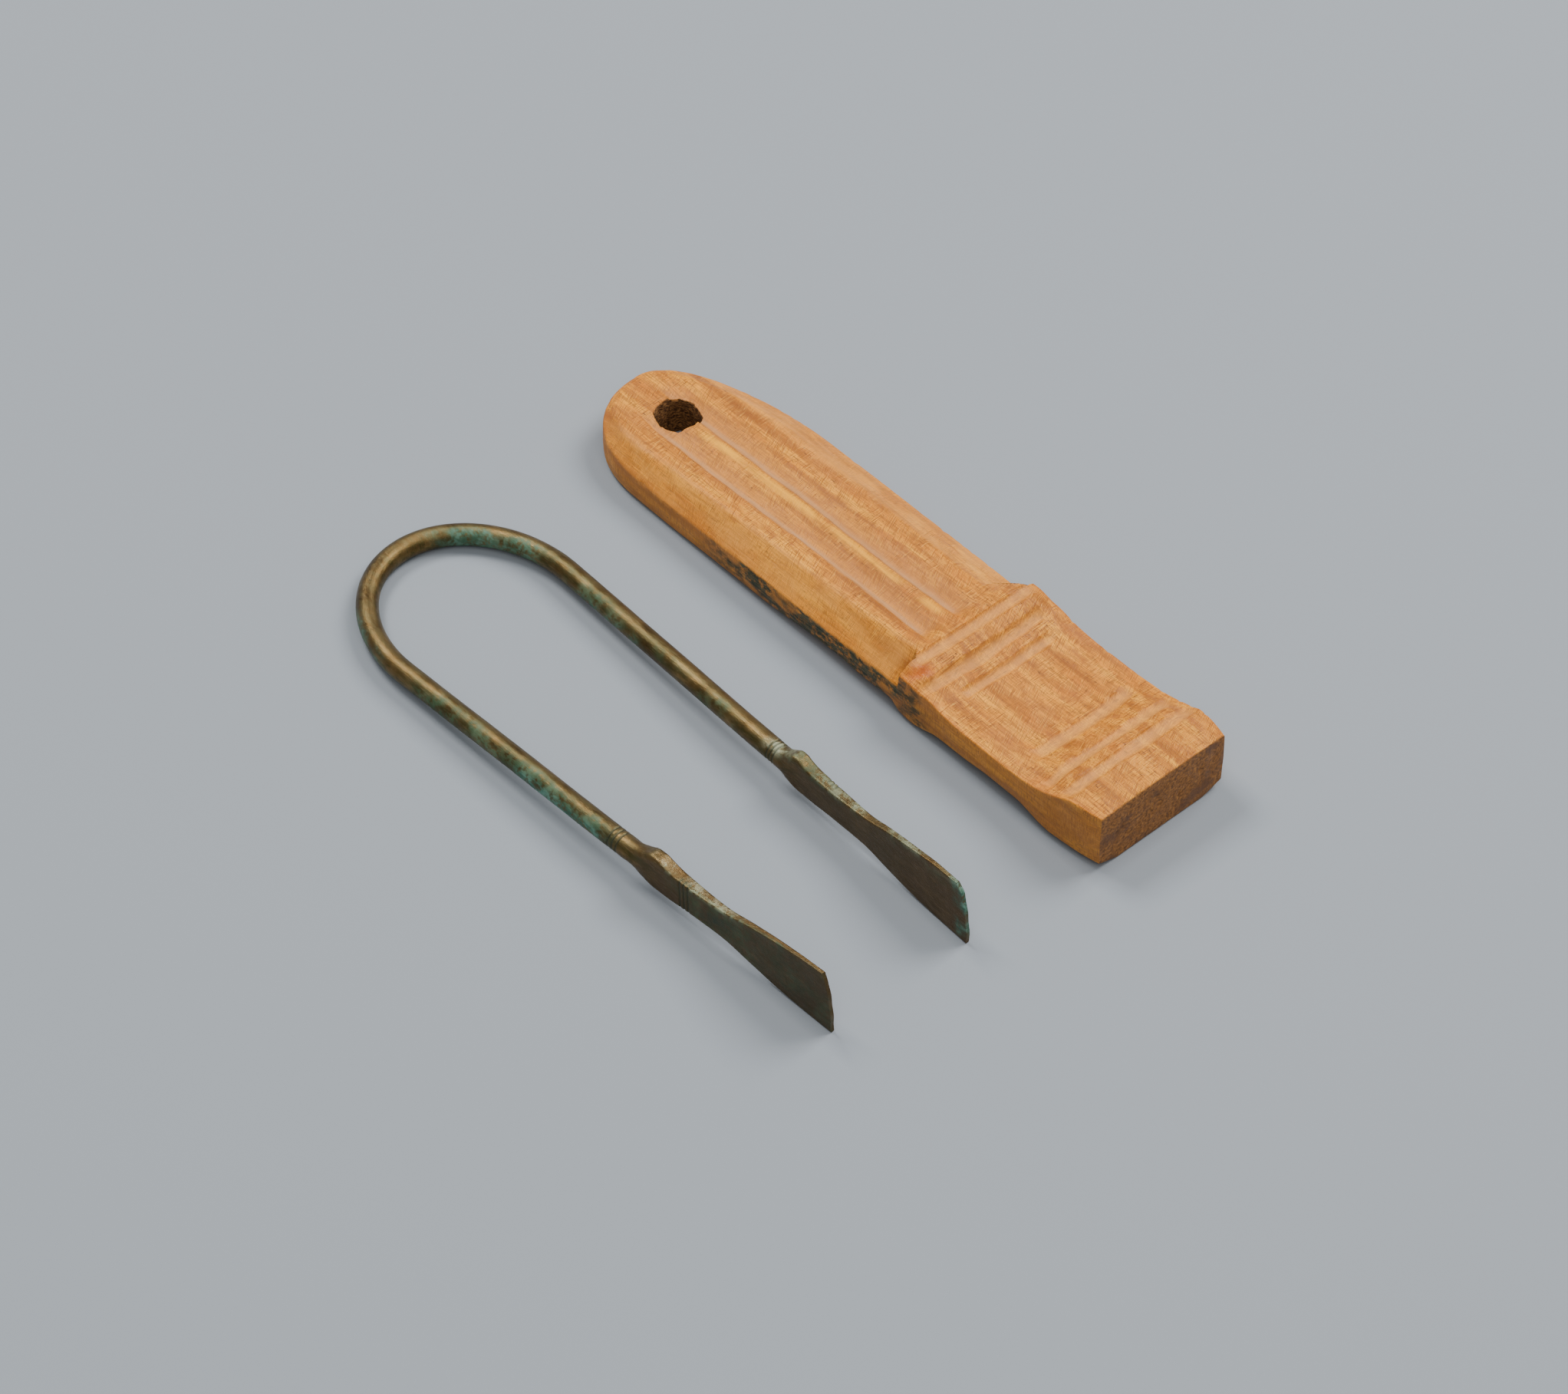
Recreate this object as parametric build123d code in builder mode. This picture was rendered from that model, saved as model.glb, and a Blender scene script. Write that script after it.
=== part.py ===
"""Spring tweezers of bronze and their carved wooden holder, laid side by side.

Millimetres, +Z up. X runs along both pieces, towards the tweezers' tips and the holder's square end.
Y runs across, from the tweezers to the holder. The origin is the middle of the set's footprint, on
the surface that it lies on.
"""

import os
from math import asin, atan, cos, degrees, hypot, radians, sin, tan

from build123d import *

os.makedirs("parts", exist_ok=True)

# ---------------------------------------------------------------- the set on its surface
set_length = 94.3
set_width = 64.0

# ---------------------------------------------------------------- wooden holder
holder_length = 93.8
holder_width = 22.0
end_width = 19.8  # the square end is a little narrower
end_taper = 9.0
nose_length = 13.2  # the rounded end is half an ellipse in plan

end_height = 9.15
waist_top = 6.1
waist_bottom = 1.9
knee_top = 8.5
knee_bottom = 0.35
knee_start = 31.0  # all distances along the holder are measured from its square end
knee_stop = 34.6
shaft_start = 36.0
shaft_top = 8.0
nose_top = 5.9
shaft_level_from = 62.0  # from here to the nose the underside lies on the surface

# the curves of the waist's top and underside: distance from the square end, and height
waist_top_curve = [(5.5, end_height), (13.5, 6.8), (22.0, waist_top), (27.2, 6.6), (knee_start, knee_top)]
waist_bottom_curve = [(knee_start, knee_bottom), (27.2, 1.6), (22.0, waist_bottom), (13.5, 2.2), (0, 0)]

chamfer_drop = 2.6  # down the side wall
chamfer_reach = 3.8  # across the top
under_chamfer = 0.9

hole_radius = 2.9
hole_distance = 84.7
hole_offset = -1.0

flute_depth = 0.6
flutes = [(-5.3, -1.65), (-0.2, 3.3)]  # the two edges of each flute, across the holder

groove_width = 1.4
groove_depth = 0.5
# distance from the square end, height of the wood there, and how far the cut runs each way across
grooves = [
    (5.6, 9.1, -10.5, 10.5),
    (8.7, 8.25, -10.2, 10.2),
    (13.6, 6.75, -7.0, 8.0),
    (26.3, 6.45, -7.0, 7.6),
    (29.0, 7.4, -10.6, 8.6),
    (32.5, 8.5, -11.5, 11.5),
]

# ---------------------------------------------------------------- bronze tweezers
wire_radius = 1.43
bow_half_width = 12.7  # to the middle of the wire
bow_depth = 16.1
arm_convergence = 2.0  # degrees, each arm
left_reach = 90.1  # from the bow's middle to the blade's lower corner
right_reach = 90.7
blade_half_height = 4.6
tip_setback = 1.1  # the blade's upper corner stands this much further back
tip_bulge = 0.4

# the forged end's sections: distance from the bow, height, thickness and corner radius
forged_sections = [
    (57.6, 2.86, 2.86, 1.40),
    (59.2, 4.10, 2.40, 0.90),
    (60.9, 5.90, 1.80, 0.60),
    (62.2, 5.90, 1.70, 0.50),
    (64.6, 4.50, 1.65, 0.40),
    (67.6, 4.15, 1.55, 0.35),
    (72.6, 4.60, 1.10, 0.30),
    (77.0, 6.40, 0.90, 0.25),
    (81.4, 7.90, 0.75, 0.20),
    (86.0, 8.80, 0.60, 0.15),
    (left_reach, 2 * blade_half_height, 0.50, 0.15),
    (93.0, 2 * blade_half_height, 0.50, 0.15),
]

ring_first = {-1: 54.1, 1: 56.1}  # left and right arm
ring_spacing = 0.55
ring_count = 3
ring_width = 0.3
ring_depth = 0.12
mark_first = 65.8
mark_spacing = 0.65
mark_depth = 0.15
mark_face = 0.80  # half the blade's thickness at the marks

# the spring bends around these hinges, one each side of the bow
hinge_angle = 45.0  # along the bow, from its middle
knuckle_radius = 1.25
knuckle_clearance = 0.05
hinge_gap = 0.25

# ---------------------------------------------------------------- places worked out from the above
end_x = set_length / 2
holder_y = (set_width - holder_width) / 2
nose_start = end_x - holder_length + nose_length
hole_x = end_x - hole_distance

apex_x = -set_length / 2 + wire_radius
tweezers_y = -set_width / 2 + bow_half_width + wire_radius
tilt = atan(blade_half_height / left_reach) - asin(wire_radius / hypot(left_reach, blade_half_height))

holder_base = Plane((0, holder_y, 0))
holder_side = Plane((0, holder_y, 0), x_dir=(1, 0, 0), z_dir=(0, -1, 0))
spring_plane = Plane(
    (apex_x, tweezers_y, wire_radius),
    x_dir=(cos(tilt), 0, sin(tilt)),
    z_dir=(-sin(tilt), 0, cos(tilt)),
)

junction_angle = 90 + degrees(atan(bow_depth / bow_half_width * tan(radians(arm_convergence))))


def bow_point(angle, side=1):
    """A point on the bow's centre line, at an angle from its middle, in the spring's plane."""
    a = radians(angle)
    return (bow_depth * (1 - cos(a)), side * bow_half_width * sin(a))


def arm_point(distance, side):
    """A point on an arm's straight centre line, at a distance from the bow's middle."""
    x, y = bow_point(junction_angle)
    return (distance, side * (y - (distance - x) * tan(radians(arm_convergence))))


def arm_plane(distance, side):
    """The plane square to an arm, with its X up."""
    turn = radians(arm_convergence)
    forward = spring_plane.from_local_coords(Vector(cos(turn), -side * sin(turn), 0))
    forward = forward - spring_plane.origin
    origin = spring_plane.from_local_coords(Vector(*arm_point(distance, side), 0))
    return Plane(origin, x_dir=spring_plane.z_dir, z_dir=forward)


def spring_side(side):
    """The upright plane through an arm's tip, seen from the side, with X along the spring."""
    origin = spring_plane.from_local_coords(Vector(0, arm_point(left_reach, side)[1], 0))
    return Plane(origin, x_dir=spring_plane.x_dir, z_dir=-spring_plane.y_dir)


def mark_side(side):
    """Where the outer face of the waist is, across an arm's section."""
    outward = arm_plane(mark_first, side).y_dir.Y
    return (1 if outward * side > 0 else -1) * mark_face


# ---------------------------------------------------------------- wooden holder
def along(distance, height):
    """A point of the holder's side profile."""
    return (end_x - distance, height)


def on_rim(edge):
    """Whether an edge of the shaft's top or underside follows its outline, rather than crossing it."""
    return edge.geom_type != GeomType.LINE or abs((edge % 0).Y) < 0.5


# the shaft, from the knee to the rounded nose, with long chamfers all round it
with BuildPart() as shaft:
    with BuildSketch(holder_side):
        with BuildLine():
            Polyline(
                along(shaft_start, knee_bottom),
                along(shaft_start, shaft_top),
                along(holder_length, nose_top),
                along(holder_length, 0),
                along(shaft_level_from, 0),
                close=True,
            )
        make_face()
    extrude(amount=holder_width / 2, both=True)
    with BuildSketch(holder_base):
        with BuildLine():
            Polyline(
                (nose_start, -holder_width / 2),
                (end_x - shaft_start, -holder_width / 2),
                (end_x - shaft_start, holder_width / 2),
                (nose_start, holder_width / 2),
            )
            EllipticalCenterArc(
                (nose_start, 0),
                x_radius=nose_length,
                y_radius=holder_width / 2,
                start_angle=90,
                arc_size=180,
            )
        make_face()
    extrude(amount=end_height * 2, mode=Mode.INTERSECT)

    top = faces().sort_by(Axis.Z)[-1]
    rim = top.edges().filter_by(on_rim)
    chamfer(rim, length=chamfer_reach, length2=chamfer_drop, reference=top)
    under_rim = edges().filter_by(lambda e: on_rim(e) and e.center().Z < knee_bottom)
    chamfer(under_rim, length=under_chamfer)

with BuildPart() as wooden_holder:
    # the head, from the square end to the knee
    with BuildSketch(holder_side):
        with BuildLine():
            Line(along(0, 0), along(0, end_height))
            Line(along(0, end_height), along(*waist_top_curve[0]))
            Spline(*[along(*place) for place in waist_top_curve], tangents=[(-1, 0), (-1, 0.35)])
            Line(along(knee_start, knee_top), along(knee_stop, knee_top))
            Line(along(knee_stop, knee_top), along(shaft_start, shaft_top))
            Line(along(shaft_start, shaft_top), along(shaft_start, knee_bottom))
            Line(along(shaft_start, knee_bottom), along(knee_start, knee_bottom))
            Spline(*[along(*place) for place in waist_bottom_curve], tangents=[(1, 0.35), (1, -0.1)])
        make_face()
    extrude(amount=holder_width / 2, both=True)

    # the square end narrows a little
    with BuildSketch(holder_base):
        Polygon(
            (end_x - shaft_start, -holder_width / 2),
            (end_x - end_taper, -holder_width / 2),
            (end_x, -end_width / 2),
            (end_x, end_width / 2),
            (end_x - end_taper, holder_width / 2),
            (end_x - shaft_start, holder_width / 2),
            align=None,
        )
    extrude(amount=end_height * 2, mode=Mode.INTERSECT)

    add(shaft.part)

    # three cuts across the knee and waist, and three across the square end
    for distance, height, low, high in grooves:
        start = (end_x - distance, holder_y + low, height)
        with BuildSketch(Plane(start, x_dir=(1, 0, 0), z_dir=(0, 1, 0))):
            Polygon(
                (-groove_width, -groove_depth),
                (0, groove_depth),
                (groove_width, -groove_depth),
                align=None,
            )
        extrude(amount=high - low, mode=Mode.SUBTRACT)

    # two flutes along the shaft, with a narrow crest between them
    flute_floor = Plane(
        (end_x - shaft_start, holder_y, shaft_top),
        x_dir=(0, 1, 0),
        z_dir=(shaft_start - holder_length, 0, nose_top - shaft_top),
    )
    for low, high in flutes:
        with BuildSketch(flute_floor):
            Polygon((low, 0), (high, 0), ((low + high) / 2, flute_depth), align=None)
        extrude(amount=hole_distance - shaft_start, mode=Mode.SUBTRACT)

    # the hole that it hangs by
    with BuildSketch(holder_base.offset(-1)):
        with Locations((hole_x, hole_offset)):
            Circle(hole_radius)
    extrude(amount=end_height * 2, mode=Mode.SUBTRACT)

wooden_holder.part.label = "wooden_holder"
export_step(wooden_holder.part, "parts/wooden_holder.step")


# ---------------------------------------------------------------- bronze tweezers
gap_angle = degrees(hinge_gap / bow_depth)

with BuildPart() as bow:
    with BuildLine(spring_plane) as bow_line:
        EllipticalCenterArc(
            (bow_depth, 0),
            x_radius=bow_depth,
            y_radius=bow_half_width,
            start_angle=180 - hinge_angle + gap_angle,
            arc_size=2 * (hinge_angle - gap_angle),
        )
    with BuildSketch(Plane(bow_line.line @ 0, z_dir=bow_line.line % 0)):
        Circle(wire_radius)
    sweep()
    # a round seat at each end, for the arm's knuckle
    with BuildSketch(spring_plane.offset(-2 * wire_radius)):
        with Locations(bow_point(hinge_angle, 1), bow_point(hinge_angle, -1)):
            Circle(knuckle_radius + knuckle_clearance)
    extrude(amount=4 * wire_radius, mode=Mode.SUBTRACT)

bow.part.label = "bow"
export_step(bow.part, "parts/bow.step")


def spring_arm(side, reach):
    """One arm of the spring: side is -1 for the left arm and 1 for the right one."""
    hinge = bow_point(hinge_angle, side)
    junction = bow_point(junction_angle, side)
    forged_start = arm_point(forged_sections[0][0], side)
    with BuildPart() as arm:
        # the knuckle that turns in the bow's seat
        with BuildLine(spring_plane) as arm_line:
            EllipticalCenterArc(
                (bow_depth, 0),
                x_radius=bow_depth,
                y_radius=bow_half_width,
                start_angle=180 - side * hinge_angle,
                arc_size=-side * (junction_angle - hinge_angle),
            )
            Line(junction, forged_start)
        hinge_plane = Plane(arm_line.line @ 0, z_dir=arm_line.line % 0)
        with BuildSketch(hinge_plane):
            Circle(wire_radius)
        extrude(amount=-knuckle_radius)
        with BuildSketch(spring_plane.offset(-2 * wire_radius)):
            with Locations(hinge):
                Circle(knuckle_radius)
        extrude(amount=4 * wire_radius, mode=Mode.INTERSECT)

        # the round wire, along the bow's end and the straight arm
        with BuildSketch(hinge_plane):
            Circle(wire_radius)
        sweep(path=arm_line.line)

        # the forged knee and blade
        for distance, height, thickness, corner in forged_sections:
            with BuildSketch(arm_plane(distance, side)):
                RectangleRounded(height, thickness, corner)
        loft(ruled=True)

        # the tip is cut to a slightly rounded, nearly upright edge
        with BuildSketch(spring_side(side)):
            with BuildLine():
                Polyline(
                    (reach - tip_setback, blade_half_height),
                    (reach - tip_setback, 2 * blade_half_height),
                    (reach + 9, 2 * blade_half_height),
                    (reach + 9, -2 * blade_half_height),
                    (reach, -2 * blade_half_height),
                    (reach, -blade_half_height),
                )
                ThreePointArc(
                    (reach, -blade_half_height),
                    (reach + tip_bulge, 0),
                    (reach - tip_setback, blade_half_height),
                )
            make_face()
        extrude(amount=2 * wire_radius, both=True, mode=Mode.SUBTRACT)

        # incised rings before the knee
        for number in range(ring_count):
            with BuildSketch(arm_plane(ring_first[side] + number * ring_spacing, side)):
                Circle(wire_radius + ring_width)
                Circle(wire_radius - ring_depth, mode=Mode.SUBTRACT)
            extrude(amount=ring_width / 2, both=True, mode=Mode.SUBTRACT)

        # incised lines after it, on the outer face
        for number in range(ring_count):
            plane = arm_plane(mark_first + number * mark_spacing, side)
            with BuildSketch(plane):
                with Locations((0, mark_side(side))):
                    Rectangle(blade_half_height * 2, 2 * mark_depth)
            extrude(amount=ring_width / 2, both=True, mode=Mode.SUBTRACT)
    return arm


left_arm = spring_arm(-1, left_reach)
left_arm.part.label = "left_arm"
export_step(left_arm.part, "parts/left_arm.step")

right_arm = spring_arm(1, right_reach)
right_arm.part.label = "right_arm"
export_step(right_arm.part, "parts/right_arm.step")
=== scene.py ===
"""Bow tweezers of patinated bronze beside their carved wooden holder.

Metres in the row frame: +X towards the tips and the holder's square end, +Y across, +Z up.
Shapes are written in millimetres and turned into metres as each mesh is made.
"""

import math

import bmesh
import bpy
import numpy as np
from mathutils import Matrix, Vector, noise


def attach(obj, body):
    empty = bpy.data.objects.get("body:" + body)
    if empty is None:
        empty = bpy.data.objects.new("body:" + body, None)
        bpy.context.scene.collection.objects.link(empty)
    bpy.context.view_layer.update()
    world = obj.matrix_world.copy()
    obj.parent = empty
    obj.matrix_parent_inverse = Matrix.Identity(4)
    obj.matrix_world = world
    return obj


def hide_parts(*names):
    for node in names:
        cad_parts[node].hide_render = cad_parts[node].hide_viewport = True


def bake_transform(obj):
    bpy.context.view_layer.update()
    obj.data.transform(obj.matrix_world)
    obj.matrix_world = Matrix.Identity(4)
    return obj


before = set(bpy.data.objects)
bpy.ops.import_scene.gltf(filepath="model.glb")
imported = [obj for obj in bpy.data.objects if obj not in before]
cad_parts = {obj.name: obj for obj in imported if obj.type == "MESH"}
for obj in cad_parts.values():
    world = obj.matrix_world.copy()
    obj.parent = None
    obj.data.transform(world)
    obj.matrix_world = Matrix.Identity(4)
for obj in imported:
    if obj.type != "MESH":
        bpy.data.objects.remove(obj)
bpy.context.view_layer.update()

MM = 0.001


# ---------------------------------------------------------------- small tools
def lerp(a, b, t):
    return a + (b - a) * t


def smooth(low, high, value):
    """0 below low, 1 above high, and an S-curve between them."""
    t = np.clip((value - low) / (high - low), 0.0, 1.0)
    return t * t * (3.0 - 2.0 * t)


def soft_min(a, b, width):
    """The lower of two surfaces, with the crease between them rounded over about that width."""
    h = np.clip(0.5 + 0.5 * (b - a) / width, 0.0, 1.0)
    return lerp(b, a, h) - width * h * (1.0 - h)


def curve_through(points):
    """A smooth function through (x, y) points that doesn't overshoot them."""
    x, y = np.array(points, float).T
    h, slope = np.diff(x), np.diff(y) / np.diff(x)
    m = np.zeros(len(x))
    m[0], m[-1] = slope[0], slope[-1]
    for i in range(1, len(x) - 1):
        if slope[i - 1] * slope[i] > 0:
            w1, w2 = 2 * h[i] + h[i - 1], h[i] + 2 * h[i - 1]
            m[i] = (w1 + w2) / (w1 / slope[i - 1] + w2 / slope[i])

    def value(at):
        at = np.clip(np.asarray(at, float), x[0], x[-1])
        i = np.clip(np.searchsorted(x, at) - 1, 0, len(h) - 1)
        t = (at - x[i]) / h[i]
        a = (1 + 2 * t) * (1 - t) ** 2 * y[i] + t * (1 - t) ** 2 * h[i] * m[i]
        b = t * t * (3 - 2 * t) * y[i + 1] + t * t * (t - 1) * h[i] * m[i + 1]
        return a + b

    return value


def unevenness(points, scale, seed):
    """Smooth noise from -1 to 1 at each point, with lumps of about that size; a seed picks the pattern."""
    shift = Vector((seed * 7.13, seed * 3.71, seed * 5.57))
    flat = np.asarray(points, float).reshape(-1, 3) / scale
    found = np.array([noise.noise(Vector(p) + shift) for p in flat])
    return found.reshape(np.asarray(points).shape[:-1])


def stations(low, high, step, fine=(), fine_step=0.05):
    """Distances from low to high, closer together within the (start, stop) ranges of fine."""
    at, found = low, []
    while at < high - 1e-6:
        found.append(at)
        close = any(a <= at <= b for a, b in fine)
        at += fine_step if close else step
    return np.array(found + [high])


def new_object(name, vertices, faces):
    """A smooth-shaded mesh object from millimetre vertices."""
    mesh = bpy.data.meshes.new(name)
    mesh.from_pydata([tuple(v) for v in np.asarray(vertices) * MM], [], [tuple(f) for f in faces])
    mesh.update()
    made = bpy.data.objects.new(name, mesh)
    bpy.context.scene.collection.objects.link(made)
    mesh.polygons.foreach_set("use_smooth", [True] * len(mesh.polygons))
    return made


# ---------------------------------------------------------------- camera
VIEW_AZIMUTH = math.radians(48.4)
VIEW_ELEVATION = math.radians(47.5)
VIEW_DISTANCE = 0.616
VIEW_TARGET = Vector((0.00255, 0.00191, 0.0))
VIEW_LENS = 118.4
SENSOR_WIDTH = 36

view_right = Vector((math.cos(VIEW_AZIMUTH), math.sin(VIEW_AZIMUTH), 0))
view_away = Vector((-math.sin(VIEW_AZIMUTH), math.cos(VIEW_AZIMUTH), 0))
view_up = Vector((0, 0, 1))


def seen_from(right, away, up):
    """A point or a direction by how the viewer sees it: to the right, further away and up."""
    return view_right * right + view_away * away + view_up * up


def make_camera():
    back = seen_from(0, -math.cos(VIEW_ELEVATION), math.sin(VIEW_ELEVATION))
    camera = bpy.data.objects.new("camera", bpy.data.cameras.new("camera"))
    camera.data.lens = VIEW_LENS
    camera.data.sensor_width = SENSOR_WIDTH
    camera.data.clip_start = 0.01
    camera.location = VIEW_TARGET + back * VIEW_DISTANCE
    camera.rotation_mode = "QUATERNION"
    camera.rotation_quaternion = (-back).to_track_quat("-Z", "Y")
    bpy.context.scene.collection.objects.link(camera)
    bpy.context.scene.camera = camera


make_camera()


# ---------------------------------------------------------------- floor and light
FLOOR_COLOUR = (0.262, 0.283, 0.306, 1)
FLOOR_ROUGHNESS = 0.9
FLOOR_REACH = 3.0
SKY_COLOUR = (0.8, 0.85, 0.9, 1)
SKY_STRENGTH = 0.42


def area_light(name, at, size, power):
    """A soft box at a place, given as the viewer sees it, and aimed at what the camera looks at."""
    light = bpy.data.lights.new(name, "AREA")
    light.shape = "RECTANGLE"
    light.size, light.size_y = size
    light.energy = power
    made = bpy.data.objects.new(name, light)
    made.location = VIEW_TARGET + seen_from(*at)
    made.rotation_mode = "QUATERNION"
    made.rotation_quaternion = (-seen_from(*at)).to_track_quat("-Z", "Y")
    bpy.context.scene.collection.objects.link(made)


def make_floor():
    material = bpy.data.materials.new("floor")
    material.use_nodes = True
    shader = material.node_tree.nodes["Principled BSDF"]
    shader.inputs["Base Color"].default_value = FLOOR_COLOUR
    shader.inputs["Roughness"].default_value = FLOOR_ROUGHNESS
    corners = [(x * FLOOR_REACH, y * FLOOR_REACH, 0) for x, y in ((-1, -1), (1, -1), (1, 1), (-1, 1))]
    mesh = bpy.data.meshes.new("floor")
    mesh.from_pydata(corners, [], [(0, 1, 2, 3)])
    floor = bpy.data.objects.new("floor", mesh)
    floor.data.materials.append(material)
    bpy.context.scene.collection.objects.link(floor)


def make_world():
    world = bpy.data.worlds.new("world")
    bpy.context.scene.world = world
    world.use_nodes = True
    background = world.node_tree.nodes["Background"]
    background.inputs["Color"].default_value = SKY_COLOUR
    background.inputs["Strength"].default_value = SKY_STRENGTH


make_floor()
make_world()
area_light("right", (0.50, 0.30, 0.70), (0.45, 0.45), 8.0)
area_light("left", (-0.40, 0.42, 0.85), (0.35, 0.35), 7.5)
area_light("front", (0.05, -0.55, 0.9), (0.7, 0.7), 4.5)


# ---------------------------------------------------------------- materials
class Shader:
    """A material's nodes, made one call at a time."""

    def __init__(self, name, **constants):
        self.material = bpy.data.materials.new(name)
        self.material.use_nodes = True
        self.tree = self.material.node_tree
        self.surface = self.tree.nodes["Principled BSDF"]
        for socket, value in constants.items():
            self.surface.inputs[socket.replace("_", " ")].default_value = value

    def node(self, kind, inputs=(), output=0, **settings):
        made = self.tree.nodes.new("ShaderNode" + kind)
        for key, value in settings.items():
            setattr(made, key, value)
        for key, value in dict(inputs).items():
            self.connect(value, made.inputs[key])
        return made.outputs[output]

    def connect(self, value, socket):
        if isinstance(value, bpy.types.NodeSocket):
            self.tree.links.new(value, socket)
        else:
            socket.default_value = value

    def feed(self, **values):
        for socket, value in values.items():
            self.connect(value, self.surface.inputs[socket.replace("_", " ")])

    def mask(self, name):
        return self.node("Attribute", output=2, attribute_name=name)

    def place(self, scale=(1, 1, 1), turn=(0, 0, 0)):
        """Where a point is on the piece at rest, in mm, turned and stretched."""
        rest = self.node("Attribute", output=1, attribute_name="rest")
        return self.node("Mapping", {0: rest, 2: turn, 3: scale})

    def strokes(self, direction, length, width):
        """Where a point is, in strokes of that length and width, that many degrees from the grain."""
        rest = self.node("Attribute", output=1, attribute_name="rest")
        turn = (0, 0, math.radians(direction))
        return self.node("Mapping", {0: rest, 2: turn, 3: (length, width, 1)}, vector_type="TEXTURE")

    def noise(self, at, detail=3.0, roughness=0.55, distortion=0.0):
        return self.node("TexNoise", {"Vector": at, "Scale": 1.0, "Detail": detail,
                                      "Roughness": roughness, "Distortion": distortion})

    def math(self, operation, a, b=0.0, c=0.0):
        return self.node("Math", {0: a, 1: b, 2: c}, operation=operation)

    def step(self, value, low, high, bottom=0.0, top=1.0):
        """A smooth step from bottom to top as value goes from low to high."""
        ends = {0: value, 1: low, 2: high, 3: bottom, 4: top}
        return self.node("MapRange", ends, interpolation_type="SMOOTHSTEP")

    def ramp(self, value, stops):
        made = self.tree.nodes.new("ShaderNodeValToRGB")
        stops = sorted(stops)
        elements = made.color_ramp.elements
        while len(elements) < len(stops):
            elements.new(0.5)
        for element, (at, colour) in zip(elements, stops):
            element.position = at
            element.color = (*colour, 1)
        self.connect(value, made.inputs[0])
        return made.outputs[0]

    def mix(self, share, a, b):
        """Colour a, with that share of colour b over it."""
        made = self.tree.nodes.new("ShaderNodeMix")
        made.data_type = "RGBA"
        for value, socket in ((share, made.inputs[0]), (a, made.inputs[6]), (b, made.inputs[7])):
            self.connect((*value, 1) if isinstance(value, tuple) else value, socket)
        return made.outputs[2]

    def tint(self, colour, mask, share, other):
        """The colour, with the other one over it by that share of a mask."""
        return self.mix(self.math("MULTIPLY", self.mask(mask), share), colour, other)

    def bump(self, layers):
        """Several heights, each with its depth in metres, laid over one another."""
        normal = None
        for height, depth in layers:
            inputs = {"Height": height, "Distance": depth, "Strength": 1.0}
            if normal is not None:
                inputs["Normal"] = normal
            normal = self.node("Bump", inputs)
        self.feed(Normal=normal)


def wood_grain(s):
    """The figure of the wood, and the patterns in it that other layers follow."""
    # growth bands along the grain
    bands = s.noise(s.place((0.035, 0.62, 0.5)), 4.0, 0.5, 0.5)
    colour = s.ramp(bands, [(0.32, (0.30, 0.085, 0.003)), (0.42, (0.50, 0.160, 0.005)),
                            (0.50, (0.65, 0.225, 0.008)), (0.58, (0.77, 0.285, 0.011)),
                            (0.70, (0.90, 0.375, 0.018))])
    dull = s.noise(s.place((0.10, 0.22, 0.3)), 3.0)
    colour = s.mix(s.step(dull, 0.45, 0.68, 0.0, 0.6), colour, (0.56, 0.195, 0.026))
    patches = s.noise(s.place((0.16, 0.4, 0.3), (0, 0, 0.5)), 3.0)
    colour = s.mix(s.step(patches, 0.5, 0.72, 0.0, 0.55), colour, (0.62, 0.175, 0.002))
    fibres = s.noise(s.place((0.28, 5.0, 4.0)), 5.0, 0.65)
    colour = s.mix(s.step(fibres, 0.38, 0.58, 0.65, 0.0), colour, (0.27, 0.08, 0.006))
    return colour, bands, patches, fibres


def wood_use(s, colour):
    """Fine scratches from scraping, slantwise across the grain, dark vessels and smudges."""
    first = s.noise(s.strokes(64, 1.8, 0.10), 3.0, 0.6)
    second = s.noise(s.strokes(88, 1.5, 0.13), 3.0, 0.6)
    where = s.noise(s.place((0.3, 0.3, 0.3)), 2.0)
    scratches = s.mix(s.step(where, 0.42, 0.58), first, second)
    colour = s.mix(s.step(scratches, 0.51, 0.63, 0.0, 0.9), colour, (0.27, 0.078, 0.004))
    colour = s.mix(s.step(scratches, 0.45, 0.33, 0.0, 0.45), colour, (0.88, 0.42, 0.06))
    # the vessels are short dashes along the grain
    dashes = s.noise(s.place((1.1, 6.5, 4.0)), 2.0, 0.5)
    dash_share = s.math("MULTIPLY", s.step(dashes, 0.63, 0.69, 0.0, 0.85), s.step(where, 0.35, 0.6))
    colour = s.mix(dash_share, colour, (0.07, 0.022, 0.008))
    smudge = s.noise(s.place((0.22, 0.5, 0.5), (0, 0, 0.3)), 6.0, 0.7)
    colour = s.mix(s.step(smudge, 0.54, 0.68, 0.0, 0.75), colour, (0.36, 0.105, 0.012))
    colour = s.mix(s.step(smudge, 0.42, 0.30, 0.0, 0.5), colour, (0.82, 0.34, 0.02))
    return colour, scratches


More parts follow.
